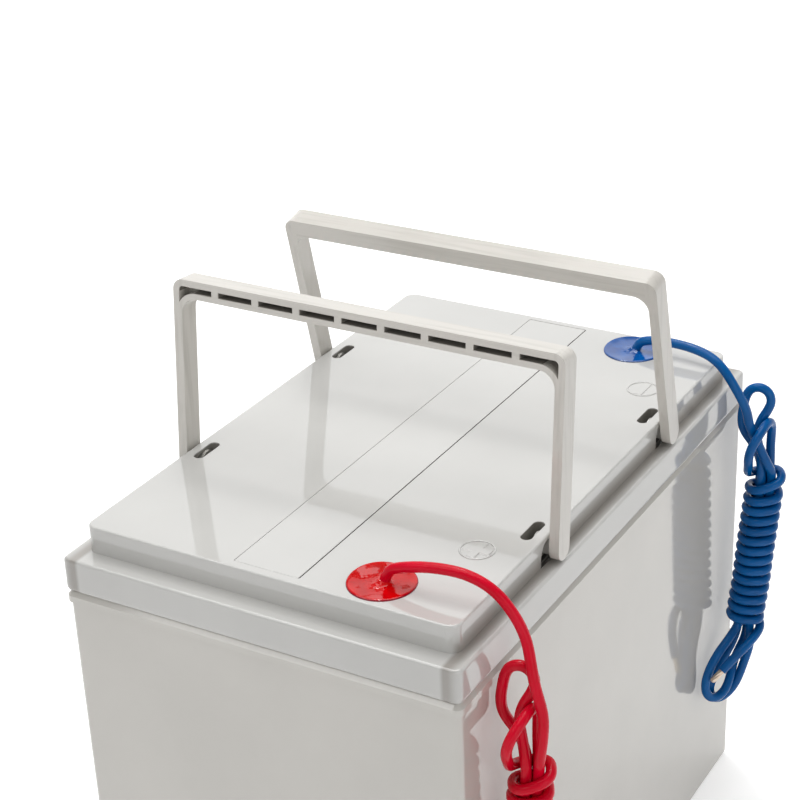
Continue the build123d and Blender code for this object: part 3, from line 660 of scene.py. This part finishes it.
# The third colour of each resin is its painted dark reflection at the rim.
red_resin = cast_resin("red_resin", "red_potting", (0.64, 0.0008, 0.002), (0.48, 0.0005, 0.0015),
                       (0.26, 0.002, 0.016), 0.34)
blue_resin = cast_resin("blue_resin", "blue_potting", (0.002, 0.105, 0.40), (0.001, 0.06, 0.27),
                        (0.008, 0.05, 0.20), 0.8)
print("resins ready")

# %% [markdown]
# ### The skin of a cap
# The skin is a height over a round grid of rings and spokes. The rings lie closer together at the rim,
# where a quarter circle brings the skin down to the deck. From there the grid goes on down the wall
# and back under, so that the cap is a closed body.

# %% Height of the resin
BOWL, SAG = 0.75, 0.10  # rise from the middle to the rim, and drop of the middle below the deck (mm)
CLIMB, CLIMB_X, CLIMB_Y = 0.8, -0.75, 0.66  # further rise at the rim (mm), and the way it faces
WAVES = ((0.10, 3, 5, 1, 0), (0.07, 7, -4, 2, 0), (0.03, 11, 9, -1, np.pi / 2))
# each wave is its height (mm), how fast it runs in x and in y, its share of the seed, and its start
COLLAR, COLLAR_FOOT, COLLAR_FALL = 1.6, 1.9, 1.3  # height, where it starts, and how fast it falls (mm)
DRIPS, DRIP_FALL = 0.30, 2.2
LEAD_ASIDE = 0.8  # how far the lead leans to the side where it leaves the resin (mm)
ROUND_RIM = 0.07  # share of the radius that is rounded down


def resin_height(r, x, y, reach, seed):
    """Height of the skin in mm, for r from 0 to 1 and x, y in the unit circle: BOWL r^2 - SAG, plus
    CLIMB (its way . place)^2, plus slow waves and short drips that vanish at the rim, plus
    COLLAR exp(-distance from the lead) with three lobes, all times a quarter circle at the rim."""
    waves = sum(h * np.sin(fast_x * x + fast_y * y + share * seed + start)
                for h, fast_x, fast_y, share, start in WAVES)
    away_x, away_y = x * reach * 1000 - LEAD_ASIDE, y * reach * 1000
    from_lead = np.hypot(away_x, away_y)
    lobes = 1 + 0.25 * np.cos(3 * np.arctan2(away_y, away_x) + seed)
    collar = COLLAR * np.exp(-np.clip(from_lead - COLLAR_FOOT, 0, None) / (COLLAR_FALL * lobes))
    drips = (DRIPS * np.sin(2.1 * away_x + seed) * np.cos(2.5 * away_y)
             * np.exp(-from_lead / DRIP_FALL))
    climb = CLIMB * np.clip(CLIMB_Y * y + CLIMB_X * x, 0, None) ** 2
    edge = np.clip((1 - r) / ROUND_RIM, 0, 1)
    skin = BOWL * r**2 - SAG + climb + (waves + drips) * (1 - r**6) + collar
    return skin * np.sqrt(1 - (1 - edge) ** 2)


print("a waveless skin would rise", round(BOWL + CLIMB - SAG, 2), "mm at its highest rim")

# %% Make the resin caps
CAP_SPOKES = 180
CAP_RINGS = np.concatenate([np.linspace(0.01, 0.94, 90), (0.955, 0.97, 0.98, 0.99, 0.996, 1.0)])
CAP_OVERLAP = 0.0003  # of the cap over the edge of its well


def resin_cap(name, node, seed, finish):
    """Rings from the middle outwards over the skin, down the wall and back under the disc."""
    low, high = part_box(node)
    middle = np.array(((low.x + high.x) / 2, (low.y + high.y) / 2))
    reach = (high.x - low.x) / 2 + CAP_OVERLAP
    angle = np.arange(CAP_SPOKES) * 2 * np.pi / CAP_SPOKES
    r, a = np.meshgrid(CAP_RINGS, angle, indexing="ij")
    x, y = r * np.cos(a), r * np.sin(a)
    height = resin_height(r, x, y, reach, seed)
    top = np.stack([middle[0] + x * reach, middle[1] + y * reach, DECK + height / 1000], axis=-1)
    wall = top[-1:].copy()
    wall[..., :2] = middle + (wall[..., :2] - middle) * 0.97
    wall[..., 2] = low.z
    under = wall.copy()
    under[..., :2] = middle + (under[..., :2] - middle) * 0.02
    points = np.concatenate([top, wall, under]).reshape(-1, 3)
    last = (len(CAP_RINGS) + 1) * CAP_SPOKES
    caps = [list(range(CAP_SPOKES - 1, -1, -1)), list(range(last, last + CAP_SPOKES))]
    faces = grid_faces(len(CAP_RINGS) + 2, CAP_SPOKES)[:, ::-1].tolist() + caps
    piece = mesh_piece(name, points, faces)
    dress(piece, finish)
    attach(piece, "case")
    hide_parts(node)
    print(name, "rises", round(float(height.max()), 2), "mm above the deck")
    return piece


red_cap = resin_cap("red_resin_cap", "red_potting", 0.6, red_resin)
blue_cap = resin_cap("blue_resin_cap", "blue_potting", 2.1, blue_resin)
dress(nodes["red_potting"], red_resin)
dress(nodes["blue_potting"], blue_resin)

# %% [markdown]
# ## Polarity marks
# Beside each terminal the lid's mould leaves a plus or a minus, raised about a third of a millimetre,
# inside a thin round bead. They are the deck's own plastic, so only their edges show. A raised sign is its
# outline, lifted and drawn in by the width of its sloping edge; the bead is a round ring.

# %% A raised sign
SIGN_HEIGHT, SIGN_SLOPE, SIGN_ROOT = 0.00036, 0.00032, -0.0002


def on_deck(piece):
    """A mark is part of the lid: it has the deck's plastic and rides with the case."""
    dress(piece, deck_plastic)
    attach(piece, "case")


def raised_sign(name, outline):
    """Three copies of the outline: under the deck, on it, and on top. The last is drawn in by the slope:
    each corner moves by slope (n1 + n2) / (1 + n1 . n2), where n1 and n2 are its sides' inward normals."""
    back = outline - np.roll(outline, 1, axis=0)
    ahead = np.roll(outline, -1, axis=0) - outline
    back, ahead = (np.stack([-e[:, 1], e[:, 0]], axis=1) / np.linalg.norm(e, axis=1)[:, None]
                   for e in (back, ahead))
    inward = (back + ahead) / (1 + (back * ahead).sum(axis=1, keepdims=True))
    levels = ((outline, SIGN_ROOT), (outline, 0.0), (outline + SIGN_SLOPE * inward, SIGN_HEIGHT))
    points = np.concatenate([np.column_stack([o, np.full(len(o), DECK + z)]) for o, z in levels])
    n = len(outline)
    caps = [list(range(n - 1, -1, -1)), list(range(2 * n, 3 * n))]
    on_deck(mesh_piece(name, points, grid_faces(3, n).tolist() + caps, smooth=False))


print("signs are", SIGN_HEIGHT * 1000, "mm high")

# %% A round bead, and all four marks
BEAD_RADIUS, BEAD_HALF, BEAD_HEIGHT = 0.0064, 0.00040, 0.00034
BEAD_SPOKES = 120


def round_bead(name, middle):
    """A ring whose section is half an ellipse with its foot in the deck: at an angle p round the section
    it lies BEAD_RADIUS + BEAD_HALF cos(p) out and BEAD_HEIGHT sin(p) up."""
    turn = np.arange(BEAD_SPOKES) * 2 * np.pi / BEAD_SPOKES
    section = np.concatenate([np.linspace(0, np.pi, 7), (1.25 * np.pi, 1.75 * np.pi)])
    p, t = np.meshgrid(section, turn, indexing="ij")
    r = BEAD_RADIUS + BEAD_HALF * np.cos(p)
    points = np.stack([middle[0] + r * np.cos(t), middle[1] + r * np.sin(t),
                       DECK + BEAD_HEIGHT * np.sin(p)], axis=-1)
    faces = grid_faces(len(section) + 1, BEAD_SPOKES) % (len(section) * BEAD_SPOKES)
    on_deck(mesh_piece(name, points.reshape(-1, 3), faces[:, ::-1].tolist()))


arm, reach = 0.00185, 0.0056
plus = np.array([(reach, -arm), (reach, arm), (arm, arm), (arm, reach), (-arm, reach), (-arm, arm),
                 (-reach, arm), (-reach, -arm), (-arm, -arm), (-arm, -reach), (arm, -reach), (arm, -arm)])
minus = np.array([(arm, -reach), (arm, reach), (-arm, reach), (-arm, -reach)])
for name, outline, middle in (("plus", plus, (0.0606, -0.0727)), ("minus", minus, (0.0606, 0.0732))):
    raised_sign(f"{name}_sign", outline + middle)
    round_bead(f"{name}_bead", middle)
print("two signs and two beads made")

# %% [markdown]
# ## Floor
# The floor is plain and pale. Near the battery it adds a little of its own light, for the camera, mirror
# and glass rays only, which makes the background white and keeps the battery's shadow on it. Further
# out, where the lamps don't reach, it adds more, so that it stays pale to the horizon.

# %% Floor
FLOOR_CORNERS = ((-6, -6), (6, -6), (6, 12), (-6, 12))
FLOOR_DROP = -0.0002  # just below the base, so that the two don't flicker
GLOW_REACH = (0.6, 2.0)  # distance over which the glow rises
GLOW = (0.45, 0.95)
floor_mesh = bpy.data.meshes.new("floor")
floor_mesh.from_pydata([(*corner, FLOOR_DROP) for corner in FLOOR_CORNERS], [], [(0, 1, 2, 3)])
floor = add_object("floor", floor_mesh)
floor_finish, floor_shader = new_finish("floor_paper", (0.80, 0.80, 0.80), 0.9)
tree = floor_finish.node_tree
rays = add_node(tree, "LightPath").outputs
seen = calculate(tree, "MAXIMUM", rays["Is Camera Ray"], rays["Is Glossy Ray"])
seen = calculate(tree, "MAXIMUM", seen, rays["Is Transmission Ray"])
distance = add_node(tree, "VectorMath", {0: own_place(tree)}, operation="LENGTH").outputs["Value"]
strength = calculate(tree, "MULTIPLY", seen, map_range(tree, distance, *GLOW_REACH, *GLOW))
glow = add_node(tree, "Emission", {"Strength": strength})
both = add_node(tree, "AddShader", {0: floor_shader.outputs[0], 1: glow.outputs[0]})
tree.links.new(both.outputs[0], tree.nodes["Material Output"].inputs["Surface"])
floor_mesh.materials.append(floor_finish)
print("floor laid")

# %% [markdown]
# ## Lamps
# One broad lamp hangs over the battery. A weaker one fills from the front left and another from the
# right, so that no side is dark. The fourth is small, and only there to spark on the wet resin.

# %% Lamps
def softbox(name, place, aim, size, power):
    """A square area lamp at place, turned towards aim."""
    lamp = bpy.data.lights.new(name, "AREA")
    lamp.shape = "RECTANGLE"
    lamp.size, lamp.size_y = size, size
    lamp.energy = power
    holder = add_object(name, lamp)
    holder.location = place
    holder.rotation_euler = (Vector(aim) - Vector(place)).to_track_quat("-Z", "Y").to_euler()


softbox("top_softbox", (-0.25, 0.15, 1.5), (0, 0, 0.2), 1.2, 13)
softbox("front_softbox", (-0.64, -0.94, 1.45), (0, 0, 0.15), 0.6, 2.8)
softbox("right_softbox", (1.25, -0.75, 0.75), (0, 0, 0.12), 0.9, 3)
softbox("spark_lamp", (-0.40, 0.50, 1.50), (0.04, 0, 0.2), 0.15, 2.5)
print("lamps lit")

# %% [markdown]
# ## The room
# A polished deck looks like what it mirrors. Behind the battery stands a tall white card, which the
# deck mirrors with the handles in front of it. The rest of the room is white at the horizon and dim
# overhead, so that glossy edges stay crisp and resin stays deep in colour where it faces up. The world
# is two grey ramps over the height of the sky, mixed by how far a direction turns towards the card.

# %% World
CARD_TURN = -20.0  # degrees; it puts the card's middle 20 from the rear, away from the leads' side
CARD_EDGE = (0.58, 0.80)  # cosine of the angle to the card: outside it, and well inside it
DIM_SIDE = ((0.0, 1.0), (0.10, 0.92), (0.30, 0.50), (0.5, 0.34), (1.0, 0.32))
WHITE_CARD = ((0.0, 1.0), (0.25, 1.15), (0.64, 1.40), (0.80, 0.55), (1.0, 0.32))
world = bpy.data.worlds.new("studio_world")
world.use_nodes = True
sky = world.node_tree
turned = add_node(sky, "Mapping", {"Vector": add_node(sky, "TexCoord").outputs["Generated"],
                                   "Rotation": (0, 0, np.radians(CARD_TURN))})
direction = add_node(sky, "SeparateXYZ", {"Vector": turned.outputs["Vector"]}).outputs


def sky_levels(levels):
    """A grey ramp over the height of the sky: pairs of sine of the height and brightness."""
    ramp = add_node(sky, "ValToRGB", {"Fac": direction["Z"]})
    for height, _ in levels[1:-1]:
        ramp.color_ramp.elements.new(height)
    for element, (height, level) in zip(ramp.color_ramp.elements, levels):
        element.position = height
        element.color = (level, level, level, 1)
    return ramp.outputs["Color"]


card = map_range(sky, direction["Y"], *CARD_EDGE, curve="SMOOTHSTEP")
inputs = {FACTOR: card, FIRST_COLOUR: sky_levels(DIM_SIDE), SECOND_COLOUR: sky_levels(WHITE_CARD)}
room = add_node(sky, "Mix", inputs, data_type="RGBA")
sky.links.new(room.outputs[MIXED_COLOUR], sky.nodes["Background"].inputs["Color"])
sky.nodes["Background"].inputs["Strength"].default_value = 1.0
bpy.context.scene.world = world
bpy.context.scene.view_settings.view_transform = "Standard"
print("white card", -CARD_TURN, "degrees from the rear")
